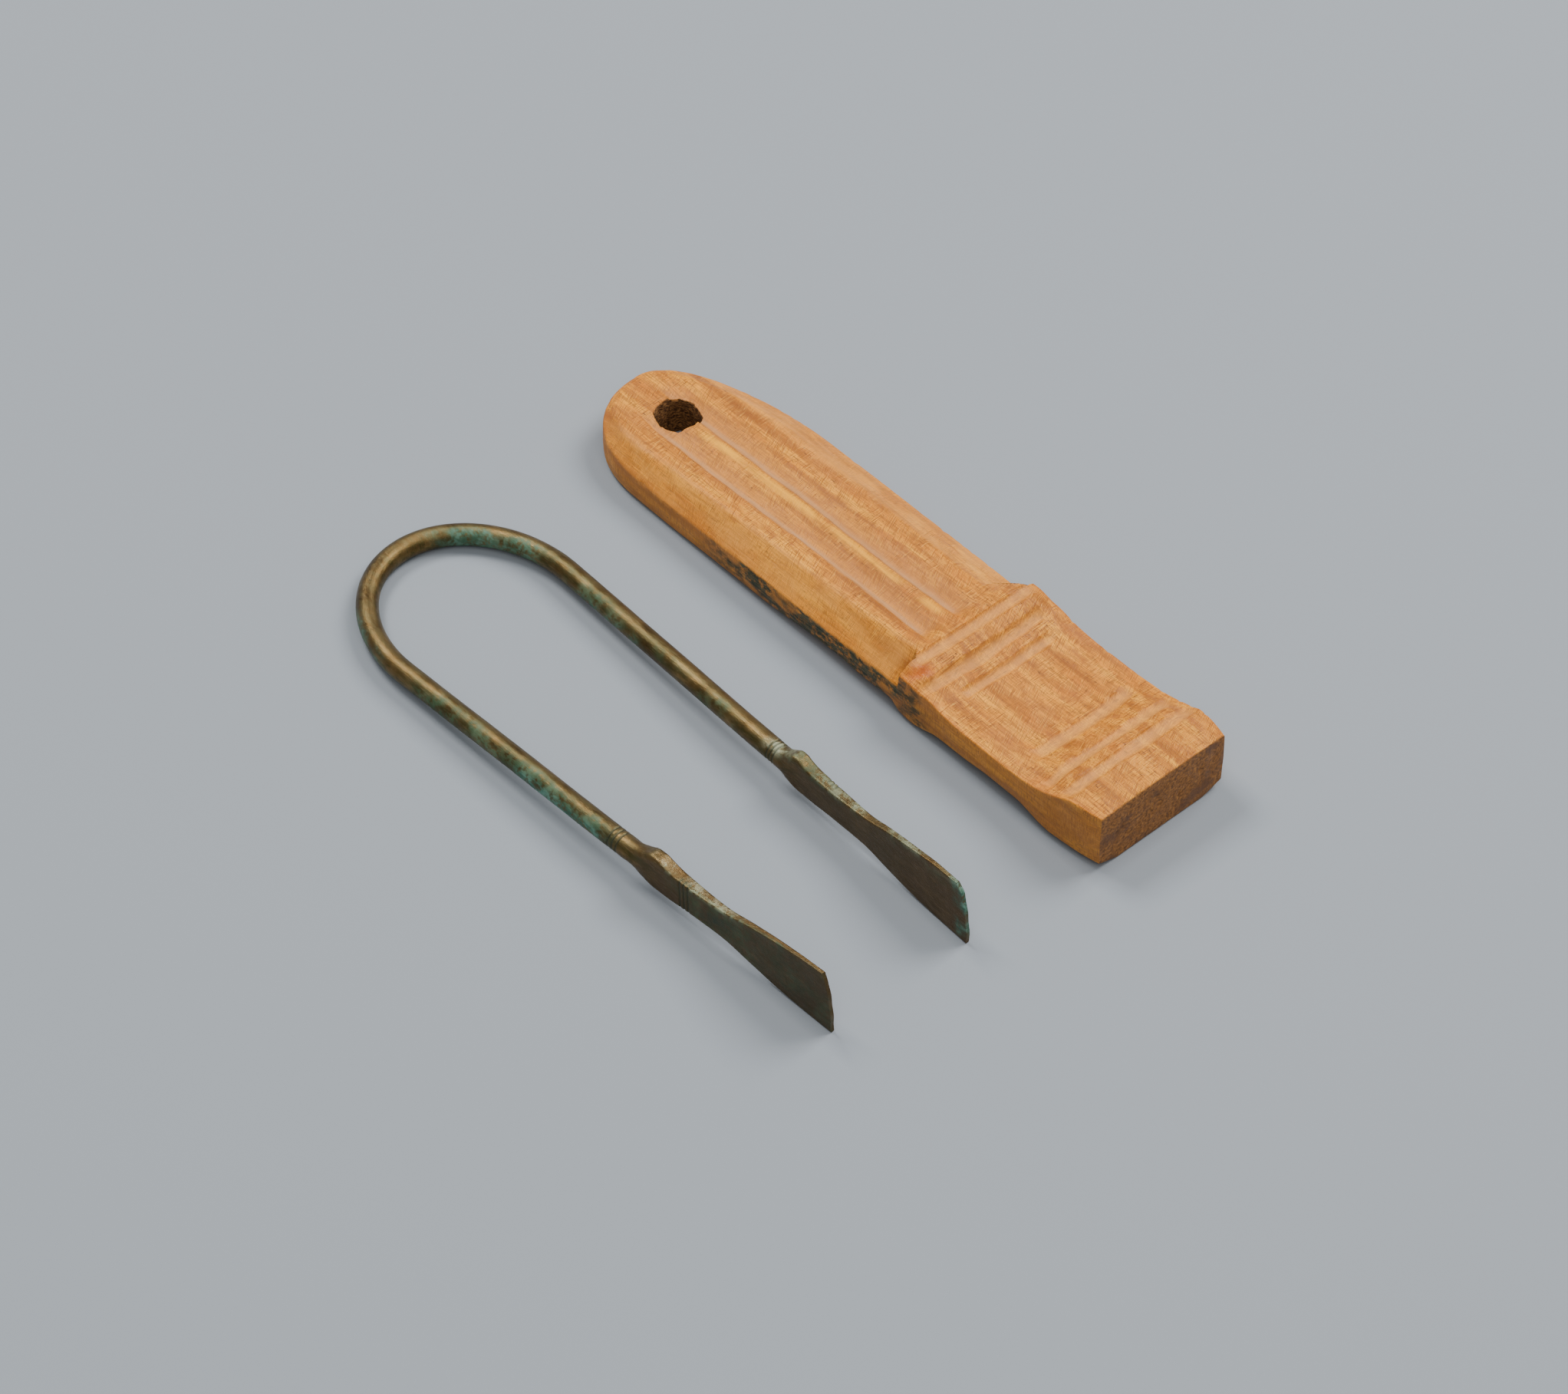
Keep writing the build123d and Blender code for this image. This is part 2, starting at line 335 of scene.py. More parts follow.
def wood_carving(s, colour, bands, patches):
    """Colour over the carving: the flutes, a painted sheen on the crest between them, painted light and
    shadow along the flute walls, the chamfers and the cuts, and painted shade on the sides.
    """
    # painted sheen: a yellow highlight along the crest between the flutes
    colour = s.tint(colour, "crest_sheen", s.step(bands, 0.3, 0.62, 0.25, 0.95), (0.95, 0.42, 0.012))
    colour = s.tint(colour, "flute", 0.6, (0.56, 0.215, 0.04))
    # painted light and shadow along each flute's steep left side: a pale lit band and a dark shadow line at
    # the foot of the wall
    colour = s.tint(colour, "lit_wall", s.step(bands, 0.3, 0.6, 0.5, 0.95), (0.50, 0.25, 0.10))
    colour = s.tint(colour, "flute_wall_shadow", s.step(patches, 0.3, 0.6, 0.95, 0.45), (0.13, 0.045, 0.010))
    colour = s.tint(colour, "chamfer", s.step(patches, 0.35, 0.65, 0.5, 0.2), (0.82, 0.34, 0.055))
    colour = s.tint(colour, "groove", 0.5, (0.72, 0.32, 0.075))
    dust = s.noise(s.strokes(88, 1.2, 0.4), 3.0)
    colour = s.tint(colour, "groove", s.step(dust, 0.52, 0.7, 0.0, 0.4), (0.20, 0.09, 0.04))
    # rubbed arrises, painted shade on the sides, and the chip
    colour = s.tint(colour, "worn", 0.45, (0.60, 0.16, 0.012))
    colour = s.tint(colour, "side", 0.95, s.mix(0.5, colour, (0.42, 0.19, 0.06)))
    return s.tint(colour, "chip", 0.8, (0.55, 0.10, 0.008))


def end_grain(s):
    """The sawn end, across the grain."""
    pores = s.noise(s.place((1, 2.2, 2.6)), 4.0, 0.7)
    cloud = s.noise(s.place((1, 0.22, 0.35)), 2.0)
    end = s.ramp(pores, [(0.34, (0.10, 0.040, 0.012)), (0.5, (0.25, 0.100, 0.025)),
                         (0.66, (0.42, 0.175, 0.04))])
    end = s.mix(s.step(cloud, 0.48, 0.68, 0.0, 0.7), end, (0.12, 0.055, 0.028))
    holes = s.noise(s.place((1, 3.4, 3.4)), 2.0, 0.5)
    return s.mix(s.step(holes, 0.68, 0.74), end, (0.03, 0.01, 0.005))


def wood_material():
    s = Shader("wood_holder", Specular_IOR_Level=0.28)
    colour, bands, patches, fibres = wood_grain(s)
    colour, scratches = wood_use(s, colour)
    colour = wood_carving(s, colour, bands, patches)
    colour = s.mix(s.mask("end_grain"), colour, end_grain(s))
    # green-black stains from the bronze
    blot = s.noise(s.place((0.9, 1.3, 1.3)), 5.0, 0.7)
    black_green = s.mix(s.step(fibres, 0.4, 0.6), (0.024, 0.030, 0.015), (0.09, 0.08, 0.04))
    colour = s.tint(colour, "stain", s.step(blot, 0.38, 0.54, 0.15, 1.0), black_green)
    # dirt in the hole and on its rim
    dirt = s.noise(s.place((2.0, 2.0, 5.0)), 6.0, 0.8)
    hole = s.ramp(dirt, [(0.40, (0.05, 0.020, 0.006)), (0.50, (0.32, 0.130, 0.035)),
                         (0.62, (0.85, 0.42, 0.14))])
    colour = s.mix(s.mask("hole"), colour, hole)
    colour = s.tint(colour, "rim", s.step(blot, 0.45, 0.7, 0.0, 0.5), (0.20, 0.07, 0.02))
    # a few specks of green
    specks = s.noise(s.place((0.8, 0.8, 0.5)), 3.0, 0.5)
    colour = s.mix(s.step(specks, 0.77, 0.80, 0.0, 0.7), colour, (0.06, 0.20, 0.17))

    polish = s.noise(s.place((0.25, 0.5, 0.5)), 4.0)
    rough = s.step(polish, 0.35, 0.65, 0.36, 0.52)
    for mask, rougher in (("side", 0.14), ("groove", 0.08), ("chip", -0.22), ("hole", 0.4)):
        rough = s.math("MULTIPLY_ADD", s.mask(mask), rougher, rough)
    s.feed(Base_Color=colour, Roughness=rough)
    ragged = s.math("MULTIPLY", s.mask("hole"), dirt)
    s.bump([(fibres, 0.00006), (scratches, 0.00009), (ragged, 0.0012)])
    return s.material


def bronze_material():
    s = Shader("bronze_spring", Specular_IOR_Level=0.5)
    even = s.noise(s.place((0.25, 0.25, 0.25)), 4.0, 0.6)
    metal = s.ramp(even, [(0.36, (0.072, 0.042, 0.012)), (0.5, (0.125, 0.075, 0.022)),
                          (0.64, (0.19, 0.120, 0.042))])
    film = s.noise(s.place((0.35, 1.4, 1.4)), 5.0, 0.65)
    metal = s.mix(s.step(film, 0.42, 0.62, 0.0, 0.8), metal, (0.060, 0.052, 0.013))
    metal = s.tint(metal, "blade", 0.65, (0.110, 0.058, 0.018))
    # painted highlight along the top of the wire
    metal = s.tint(metal, "top_highlight", s.step(film, 0.40, 0.60, 0.0, 0.25), (0.32, 0.22, 0.10))
    scratches = s.noise(s.place((0.7, 9.0, 9.0), (0, 0.03, 0.02)), 4.0, 0.7)
    metal = s.mix(s.step(scratches, 0.55, 0.7, 0.0, 0.4), metal, (0.36, 0.25, 0.13))
    # patina over it
    crust = s.noise(s.place((1.1, 1.1, 1.1)), 6.0, 0.7)
    green = s.math("MULTIPLY", s.mask("green"), s.step(crust, 0.40, 0.56, 0.2, 1.0))
    colour = s.mix(green, metal, s.mix(s.step(even, 0.4, 0.6), (0.040, 0.072, 0.024), (0.095, 0.145, 0.070)))
    teal = s.math("MULTIPLY", s.mask("teal"), s.step(crust, 0.38, 0.56, 0.15, 1.0))
    colour = s.mix(teal, colour, s.mix(s.step(film, 0.4, 0.6), (0.018, 0.105, 0.065), (0.12, 0.27, 0.20)))
    pale = s.math("MULTIPLY", s.mask("pale"), s.step(crust, 0.42, 0.58, 0.1, 0.9))
    colour = s.mix(pale, colour, (0.40, 0.42, 0.27))
    grime = s.math("MULTIPLY", s.mask("dark"), s.step(crust, 0.35, 0.6, 0.35, 0.95))
    colour = s.mix(grime, colour, (0.028, 0.040, 0.020))
    colour = s.tint(colour, "incised", 0.75, (0.05, 0.06, 0.035))
    spots = s.noise(s.place((1.6, 1.6, 1.6)), 2.0, 0.5)
    colour = s.mix(s.step(spots, 0.70, 0.76, 0.0, 0.6), colour, (0.06, 0.06, 0.03))

    covered = s.math("MAXIMUM", s.math("MAXIMUM", green, teal), s.math("MAXIMUM", pale, grime))
    rough = s.math("ADD", s.step(covered, 0.0, 1.0, 0.33, 0.55), s.step(film, 0.3, 0.7, -0.03, 0.09))
    s.feed(Base_Color=colour, Metallic=s.step(covered, 0.0, 1.0, 0.85, 0.25), Roughness=rough)
    s.bump([(scratches, 0.00003), (crust, 0.00006)])
    return s.material


# ---------------------------------------------------------------- carved wooden holder
# d is the distance from the square end and y the distance from the holder's middle line, in mm
END_X, HOLDER_Y = 47.15, 21.0
LENGTH, HALF, NOSE = 93.8, 11.0, 13.2
# the nose's length and fullness on each side of the middle line; a fullness of 2 is an ellipse
LEFT_NOSE, RIGHT_NOSE = (NOSE, 2.5), (25.0, 2.0)
SHAFT_FROM = 33.2
LEFT_CREASE, RIGHT_CREASE = 7.8, 6.4  # where the chamfers begin, from the middle line
LEFT_SLOPE, RIGHT_SLOPE = 0.89, 0.62  # rise of the chamfers, inwards
HOLE_D, HOLE_Y = 84.7, -1.0
GROOVES = [  # distance, from y, to y, half-width, depth, bow
    (5.6, -10.4, 10.6, 1.00, 0.50, 0.25),
    (8.8, -10.3, 10.2, 0.90, 0.46, 0.35),
    (13.5, -7.6, 8.4, 1.10, 0.50, 0.55),
    (26.3, -7.4, 7.8, 0.85, 0.44, 0.20),
    (29.1, -10.4, 8.9, 0.90, 0.46, 0.25),
    (32.5, -9.4, 10.4, 0.95, 0.55, 0.20),
]
FLUTES = [(-5.3, -1.65, 88.5), (-0.2, 3.4, 91.0)]  # left edge, right edge, where it stops
PITS = [  # in the sawn end: y, z, size
    (-6.4, 5.0, 0.5), (-5.6, 3.6, 0.35), (-7.2, 4.4, 0.4), (-1.2, 5.9, 0.55), (-0.3, 4.7, 0.4),
    (-1.9, 4.6, 0.35), (5.4, 6.9, 0.35), (6.1, 5.6, 0.3), (2.9, 4.2, 0.3), (8.6, 6.1, 0.35),
]
TOP_ROUND, BOTTOM_ROUND = 0.22, 0.25
HOLE_RADIUS = 2.62
HOLDER_CRISP = math.radians(42)

# along the holder: half-width, top, outer edges of the chamfers, and underside's middle and edges
straight_width = curve_through([(0, 9.9), (1.2, 10.2), (4.4, 10.67), (10, HALF), (LENGTH - NOSE, HALF)])
top_line = curve_through([
    (0, 9.0), (3, 9.13), (6, 9.02), (8, 8.55), (10, 7.8), (12.5, 6.95), (15, 6.4), (18, 6.15),
    (22, 6.05), (25, 6.2), (27.5, 6.7), (29.5, 7.6), (31.2, 8.3), (32.5, 8.5), (34, 8.4),
    (36, 8.1), (40, 7.9), (60, 7.2), (LENGTH, 5.9),
])
left_edge = curve_through([
    (33, 4.9), (36, 4.75), (60, 4.4), (78, 4.0), (88, 4.3), (91.5, 5.0), (LENGTH, 5.5),
])
right_edge = curve_through([
    (33, 4.9), (36, 4.75), (60, 4.5), (74, 4.3), (84, 4.4), (90, 4.9), (LENGTH, 5.5),
])
bottom_line = curve_through([
    (0, 0), (2, 0.12), (4.4, 0.47), (8.8, 1.25), (13.2, 2.25), (17.6, 2.2), (22, 1.85),
    (26.4, 1.7), (29, 1.0), (30.8, 0.4), (33, 0.3), (40, 0.2), (62, 0.03), (LENGTH, 0),
])
bottom_edge = curve_through([
    (29, 1.0), (31, 0.55), (33, 0.8), (35, 2.0), (40, 1.75), (44, 2.0), (48, 1.8), (53, 1.36),
    (57, 0.95), (66, 0.8), (70, 0.65), (76, 0.45), (LENGTH, 0.5),
])


def nose_shape(y):
    """The nose's length and fullness on the side where y is."""
    return [np.where(y < 0, left, right) for left, right in zip(LEFT_NOSE, RIGHT_NOSE)]


def half_width(d, y):
    """From the middle line to the outline, on the side where y is."""
    nose, n = nose_shape(y)
    u = np.clip((d - (LENGTH - nose)) / nose, 0, 1)
    return straight_width(d) * (1 - u ** n) ** (1 / n)


def inset(d, y):
    """How far a point is inside the outline."""
    nose, n = nose_shape(y)
    u, across = np.maximum(d - (LENGTH - nose), 0), np.abs(y)
    size = ((u / nose) ** n + (across / HALF) ** n) ** (1 / n)
    steepness = np.hypot(u ** (n - 1) / nose ** n, across ** (n - 1) / HALF ** n) + 1e-9
    round_end = np.minimum((1 - size) * size ** (n - 1) / steepness, HALF)
    return np.maximum(np.where(u > 0, round_end, half_width(d, y) - across), 0)


def flat_point(d, y, seed, scale):
    """Unevenness over the holder's plan."""
    return unevenness(np.stack([d, y, np.zeros_like(d)], -1), scale, seed)


def groove_mask(d, y):
    """1 along the middle of each cut across the wood and 0 away from them, and the cuts' depth."""
    mask, depth = np.zeros_like(d), np.zeros_like(d)
    for number, (at, low, high, half, deep, bow) in enumerate(GROOVES):
        middle = at + bow * (y / 10) ** 2 + 0.12 * flat_point(y, d * 0, number + 3, 5.0)
        width = half * (1 + 0.18 * flat_point(y, d * 0, number + 23, 4.0))
        ends = smooth(low - 0.4, low + 1.4, y) * (1 - smooth(high - 1.4, high + 0.4, y))
        cut = np.clip(1 - ((d - middle) / width) ** 2, 0, 1) ** 0.65 * ends
        mask, depth = np.maximum(mask, cut), np.maximum(depth, cut * deep)
    return mask, depth


def flute_wander(d, number):
    """How far a flute strays from its straight line."""
    return 0.28 * flat_point(d, d * 0, number + 41, 9.0) + 0.1 * flat_point(d, d * 0, number + 47, 2.5)


def flute_mask(d, y):
    """Each long flute falls sharply at its left edge and rises slowly to its right one."""
    mask = np.zeros_like(d)
    for number, (low, high, stop) in enumerate(FLUTES):
        t = (y - flute_wander(d, number) - low) / (high - low)
        shape = smooth(0.0, 0.13, t) * (1 - smooth(0.1, 1.0, t)) ** 0.75
        mask += shape * smooth(34.2, 36.6, d) * (1 - smooth(stop - 5.5, stop, d))
    return mask


def flute_line(d, y, number, offset, width):
    """A line along the foot of a flute's steep left side."""
    low, _, stop = FLUTES[number]
    line = np.exp(-((y - flute_wander(d, number) - low - offset) / width) ** 2)
    return line * smooth(35, 38, d) * (1 - smooth(stop - 8, stop - 1, d))


def round_over(near, radius):
    """How far a rounded arris drops, this near to the edge."""
    return radius - np.sqrt(np.maximum(radius ** 2 - np.maximum(radius - near, 0) ** 2, 0))


def holder_top(d, y):
    """Height of the top."""
    inside = inset(d, y)
    across = np.abs(y)
    # the hollow of the waist reaches further into the head near both sides
    head = smooth(2.5, 7, d) * (1 - smooth(15, 22, d))
    profile = top_line(d + 2.4 * smooth(6.8, 10.8, across) * head)
    profile = profile - 0.22 * (y / HALF) ** 2 * (1 - smooth(9, 14, d))
    # the knee's corners are cut down
    knee = smooth(27.5, 31, d) * (1 - smooth(34.5, 36.5, d))
    profile = profile - knee * (1.5 * smooth(8.4, 11.4, -y) + 0.9 * smooth(8.6, 11.2, y))
    # long chamfers
    slope = lerp(LEFT_SLOPE, RIGHT_SLOPE, smooth(-2.5, 2.5, y))
    left_start = SHAFT_FROM + 0.7 * (1 - smooth(7.2, 8.6, -y))
    start = np.where(y < 0, left_start, 36.4 - 3.0 * smooth(6.2, 10.4, y))
    step = (1 - smooth(start - 0.35, start + 0.45, d)) * 6.0
    wander = 0.10 * flat_point(d, y * 0.3, 61, 8.0)
    edge = lerp(left_edge(d), right_edge(d), smooth(-3, 3, y))
    chamfer = edge + wander + slope * inside + step
    # the flat bands end in soft creases, worn by hands
    z = soft_min(profile, chamfer, 0.22)
    z = z - 0.70 * flute_mask(d, y) * smooth(0.4, 2.2, inside)
    z = z - groove_mask(d, y)[1]
    # a crest between the flutes
    z = z + 0.10 * np.exp(-((y + 0.9) / 0.5) ** 2) * smooth(35, 38, d) * (1 - smooth(76, 80, d))
    # a chip in the knee's left corner
    z = z - 0.45 * np.exp(-((d - 31.4 + 0.55 * (y + 9.2)) / 0.8) ** 2 - ((y + 9.2) / 1.3) ** 2)
    # facets left by the knife, and wear
    z = z + 0.05 * flat_point(d * 0.35, y, 67, 2.6) + 0.018 * flat_point(d * 0.5, y, 71, 0.8)
    chips = np.maximum(flat_point(d, y, 73, 1.1) - 0.15, 0)
    return z - round_over(np.minimum(inside, d), TOP_ROUND + 0.5 * chips)


def holder_bottom(d, y):
    """Height of the underside."""
    inside = inset(d, y)
    raised = np.maximum(bottom_edge(d) - bottom_line(d), 0)
    z = bottom_line(d) + raised * np.maximum(1 - inside / 3.0, 0) ** 1.1
    z = z + 0.03 * (1 + flat_point(d * 0.4, y, 83, 2.4))
    return z + round_over(np.minimum(inside, d), BOTTOM_ROUND)


def holder_mesh():
    """The carved block without its hole, as a closed grid of rows, columns and levels."""
    edge_steps = np.array([0, 0.03, 0.09, 0.17, 0.28, 0.45, 0.68])
    fine = [(at - 1.3, at + 1.3) for at, *_ in GROOVES] + [(32.6, 34.2)]
    straight = stations(0.95, LENGTH - NOSE, 0.34, fine, 0.15)
    turn = np.radians(np.linspace(2, 84, 46))
    along = np.concatenate([edge_steps, straight, LENGTH - NOSE + NOSE * np.sin(turn)])
    inner = stations(0.95 - HALF, HALF - 0.95, 0.31, [(-5.9, -4.8), (-0.8, 0.5)], 0.13) / HALF
    across = np.concatenate([edge_steps / HALF - 1, inner, 1 - edge_steps[::-1] / HALF])
    upward = np.linspace(0, 1, 17)
    ni, nj, nk = len(along), len(across), len(upward)

    i, j, k = np.meshgrid(np.arange(ni), np.arange(nj), np.arange(nk), indexing="ij")
    skin = (i == 0) | (i == ni - 1) | (j == 0) | (j == nj - 1) | (k == 0) | (k == nk - 1)
    number = np.full(skin.shape, -1)
    number[skin] = np.arange(skin.sum())
    i, j, k = i[skin], j[skin], k[skin]
    d, s = along[i], across[j]
    y = half_width(d, s) * s
    low, high = holder_bottom(d, y), holder_top(d, y)
    z = lerp(low, high, upward[k])
    # walls aren't quite flat: a slight belly, knife facets, and an end that a saw left rough
    wall = ((j == 0) | (j == nj - 1)) * np.sin(np.pi * upward[k])
    facets = unevenness(np.stack([d * 0.3, z, s], -1), 2.2, 91)
    y = y + np.sign(s) * wall * (0.12 + 0.07 * facets)
    end = (i == 0) * np.sin(np.pi * upward[k]) ** 0.5 * (1 - s ** 8)
    rough = unevenness(np.stack([y, z * 0.8, d], -1), 0.9, 97)
    pits = np.zeros_like(d)
    for at_y, at_z, size in PITS:
        pits += np.exp(-((y - at_y) ** 2 + (z - at_z) ** 2) / size ** 2)
    d = d + end * (0.06 * rough + 0.28 * np.minimum(pits, 1) * (0.6 + 0.8 * np.abs(rough)))
    vertices = np.stack([END_X - d, HOLDER_Y + y, np.maximum(z, 0)], -1)

    def sheet(ids, flip):
        a, b, c, e = ids[:-1, :-1], ids[1:, :-1], ids[1:, 1:], ids[:-1, 1:]
        quads = np.stack([a, b, c, e], -1).reshape(-1, 4)
        return quads[:, ::-1] if flip else quads

    faces = np.concatenate([
        sheet(number[:, :, -1], True), sheet(number[:, :, 0], False),
        sheet(number[:, 0, :], True), sheet(number[:, -1, :], False),
        sheet(number[0], False), sheet(number[-1], True),
    ])
    return vertices, faces.tolist()


def hole_cutter():
    """A rough and rather square tube, to be cut out of the wood."""
    around, levels = 96, 40
    angle = np.linspace(0, 2 * np.pi, around, endpoint=False)
    height = np.linspace(-1.5, 10.5, levels)
    a, h = [m.ravel() for m in np.meshgrid(angle, height)]
    square = 1 / np.maximum(np.abs(np.cos(a)), np.abs(np.sin(a))) ** 0.35
    points = np.stack([np.cos(a) * 3, np.sin(a) * 3, h * 0.6], -1)
    rough = 0.16 * unevenness(points, 1.3, 101) + 0.09 * unevenness(points, 0.5, 103)
    radius = HOLE_RADIUS * square + rough
    radius = radius * np.where(np.cos(a) > 0, 1.0, 1.06) + 0.25 * smooth(5.2, 7.0, h)
    x = END_X - HOLE_D + radius * np.cos(a) * 1.05
    y = HOLDER_Y + HOLE_Y + radius * np.sin(a)
    vertices = np.stack([x, y, h], -1)
    ids = np.arange(around * levels).reshape(levels, around)
    faces = []
    for row in range(levels - 1):
        for c in range(around):
            e = (c + 1) % around
            faces.append([ids[row, c], ids[row, e], ids[row + 1, e], ids[row + 1, c]])
    faces.append(list(ids[0][::-1]))
    faces.append(list(ids[-1]))
    return new_object("hole_cutter", vertices, faces)


def crisp_edges(made, angle):
    """Edges bent by more than an angle stay crisp in smooth shading."""
    work = bmesh.new()
    work.from_mesh(made.data)
    for edge in work.edges:
        if len(edge.link_faces) == 2 and edge.calc_face_angle(0) > angle:
            edge.smooth = False
    work.to_mesh(made.data)
    work.free()


def cut_hole(holder):
    cutter = hole_cutter()
    work = holder.modifiers.new("hole", "BOOLEAN")
    work.operation = "DIFFERENCE"
    work.object = cutter
    work.solver = "MANIFOLD"
    with bpy.context.temp_override(object=holder, active_object=holder, selected_objects=[holder]):
        bpy.ops.object.modifier_apply(modifier="hole")
    bpy.data.objects.remove(cutter)


def set_mask(made, name, values):
    attribute = made.data.attributes.new(name, "FLOAT", "POINT")
    attribute.data.foreach_set("value", np.clip(values, 0, 1).astype(np.float32))


def set_rest(made, values):
    attribute = made.data.attributes.new("rest", "FLOAT_VECTOR", "POINT")
    attribute.data.foreach_set("vector", np.asarray(values, np.float32).ravel())


def points_and_normals(made):
    count = len(made.data.vertices)
    points, normals = np.zeros(count * 3), np.zeros(count * 3)
    made.data.vertices.foreach_get("co", points)
    made.data.vertices.foreach_get("normal", normals)
    return points.reshape(-1, 3) / MM, normals.reshape(-1, 3)


def mask_holder(holder):
    """Where the wood is cut, worn, stained and dirty, and where light and shade are painted on it."""
    points, normals = points_and_normals(holder)
    d, y, z = END_X - points[:, 0], points[:, 1] - HOLDER_Y, points[:, 2]
    upper = smooth(0.3, 0.7, normals[:, 2])
    inside = inset(d, y)
    left = smooth(0.5, 0.8, -normals[:, 1]) * (1 - upper)
    blotch = unevenness(np.stack([d, y, z], -1), 5.0, 111) * 0.5 + 0.5
    fleck = unevenness(np.stack([d * 0.5, y, z], -1), 1.0, 113) * 0.5 + 0.5
    set_rest(holder, np.stack([d, y, z], -1))
    set_mask(holder, "groove", groove_mask(d, y)[0] * upper)
    set_mask(holder, "flute", flute_mask(d, y) * upper)
    # a painted sheen along the crest between the flutes
    crest_sheen = np.exp(-((y + 1.0 - 0.2 * flat_point(d, d * 0, 117, 6.0)) / 0.55) ** 2)
    crest_sheen = crest_sheen * smooth(-0.6, 0.1, flat_point(d, y, 118, 4.0))
    set_mask(holder, "crest_sheen", crest_sheen * upper * smooth(35, 38, d) * (1 - smooth(78, 82, d)))
    # a pale lit band and a painted shadow line along each flute's steep left side
    set_mask(holder, "lit_wall", (flute_line(d, y, 0, 0.80, 0.24) + flute_line(d, y, 1, 0.85, 0.28)) * upper)
    set_mask(holder, "flute_wall_shadow", flute_line(d, y, 0, 0.42, 0.16) * 0.9 + flute_line(d, y, 1, 0.42, 0.2))
    # the side faces, painted darker as shade and made rougher
    set_mask(holder, "side", 1 - upper)
    stain = left * smooth(30, 34, d) * (1 - smooth(62, 72, d)) * smooth(0.8, 1.6, z)
    stain = np.maximum(stain, left * smooth(26.5, 30, d) * (1 - smooth(35, 38, d)) * 0.9)
    set_mask(holder, "stain", stain * smooth(0.30, 0.52, blotch * 0.6 + fleck * 0.4))
    set_mask(holder, "end_grain", smooth(0.5, 0.9, normals[:, 0]) * (1 - smooth(0.3, 0.7, d)))
    reach = np.hypot(d - HOLE_D, y - HOLE_Y)
    in_hole = (reach < 4.3) & (inside > 2) & (np.abs(normals[:, 2]) < 0.75) & (z < holder_top(d, y) - 0.12)
    set_mask(holder, "hole", in_hole.astype(float))
    set_mask(holder, "rim", np.exp(-np.maximum(reach - 3.0, 0) / 0.7) * upper)
    chip = np.exp(-((d - 31.6 + 0.5 * (y + 9.2)) / 0.9) ** 2 - ((y + 9.2) / 1.4) ** 2)
    set_mask(holder, "chip", chip)
    set_mask(holder, "worn", np.exp(-inside / 0.35) * upper)
    left_band = smooth(LEFT_CREASE - 0.5, LEFT_CREASE + 0.2, -y)
    right_band = smooth(RIGHT_CREASE - 0.5, RIGHT_CREASE + 0.3, y)
    set_mask(holder, "chamfer", smooth(34, 36, d) * upper * np.maximum(left_band, right_band))


def make_holder():
    holder = new_object("holder_carved", *holder_mesh())
    cut_hole(holder)
    mask_holder(holder)
    crisp_edges(holder, HOLDER_CRISP)
    holder.data.materials.clear()
    holder.data.materials.append(wood_material())
    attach(holder, "holder")
    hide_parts("wooden_holder")


# ---------------------------------------------------------------- bronze tweezers
# u is the distance from the bow's middle along the tweezers, in mm
WIRE = 1.43
BOW_HALF, BOW_DEPTH = 12.7, 16.1
CONVERGENCE = math.radians(2.0)
BLADE_HALF = 4.6
REACH = {-1: 90.1, 1: 90.7}  # side -1 is the left arm and side 1 the right one
# the spring rests on its bow and on the lower corner of its left tip
TILT = math.atan(BLADE_HALF / REACH[-1]) - math.asin(WIRE / math.hypot(REACH[-1], BLADE_HALF))
# how far round the bow the arms begin
JUNCTION = math.pi / 2 + math.atan(BOW_DEPTH / BOW_HALF * math.tan(CONVERGENCE))
SPRING_ORIGIN = np.array([-45.72, -17.87, WIRE])
SPRING_X = np.array([math.cos(TILT), 0, math.sin(TILT)])
SPRING_Y = np.array([0.0, 1.0, 0.0])
SPRING_Z = np.array([-math.sin(TILT), 0, math.cos(TILT)])
SIDE_NAME = {-1: "left", 1: "right"}
RINGS = {-1: (54.1, 54.8, 55.5), 1: (56.2, 56.75, 57.3)}
MARKS = (65.8, 66.45, 67.1)
TIP_FROM = 84.0
# an angle round the bow and a distance along the spring, where each half's flexing part would start and stop;
# nothing bends it
BEND_FROM, BEND_TO = math.radians(12), 20.0
SPRING_CRISP = math.radians(38)
